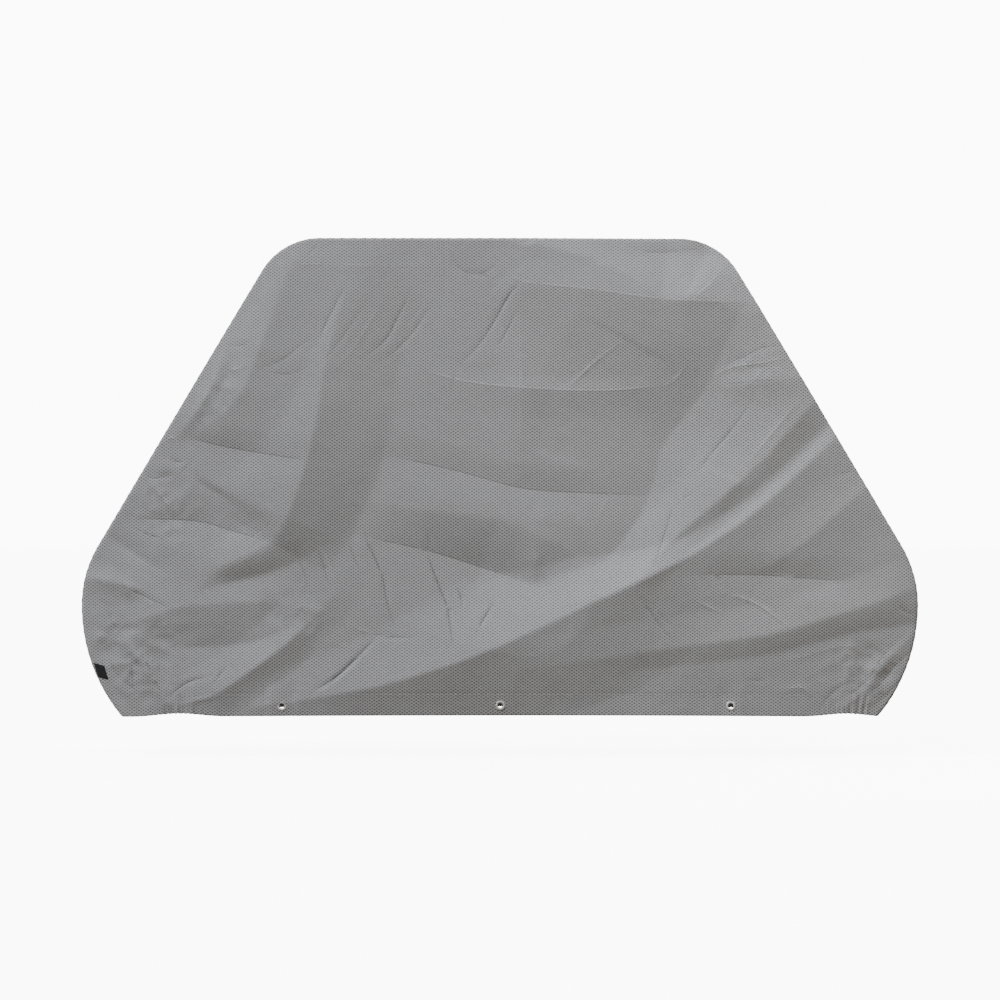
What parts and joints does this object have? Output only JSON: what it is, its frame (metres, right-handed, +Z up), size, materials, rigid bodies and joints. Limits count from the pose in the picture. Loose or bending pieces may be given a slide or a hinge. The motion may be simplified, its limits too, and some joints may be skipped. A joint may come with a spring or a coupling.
{
  "type": "bicycle cover",
  "caption": "Fitted woven cloth cover for two bicycles side by side: folded side panels, a gusset over the top and ends, and a hem with metal eyelets.",
  "frame": {"origin": "underside of the top, at its middle, where the bicycles carry the cover", "axes": "+X along the cover, +Y from the front panel to the back panel, +Z up"},
  "size_m": [1.92, 0.6957, 1.0975],
  "materials": {
    "cover_cloth": "grey coated plain weave with a fine staggered dot grain, matte with a faint sheen",
    "eyelet_metal": "nickel-plated pressed metal",
    "label_cloth": "plain black woven tab"
  },
  "bodies": {
    "root": {"front_panel": "cover_cloth", "back_panel": "cover_cloth", "gusset": "cover_cloth", "hem_front": "cover_cloth", "hem_back": "cover_cloth", "eyelet_front_1": "eyelet_metal", "eyelet_front_2": "eyelet_metal", "eyelet_front_3": "eyelet_metal", "eyelet_back_1": "eyelet_metal", "eyelet_back_2": "eyelet_metal", "eyelet_back_3": "eyelet_metal", "label": "label_cloth"}
  },
  "joints": []
}
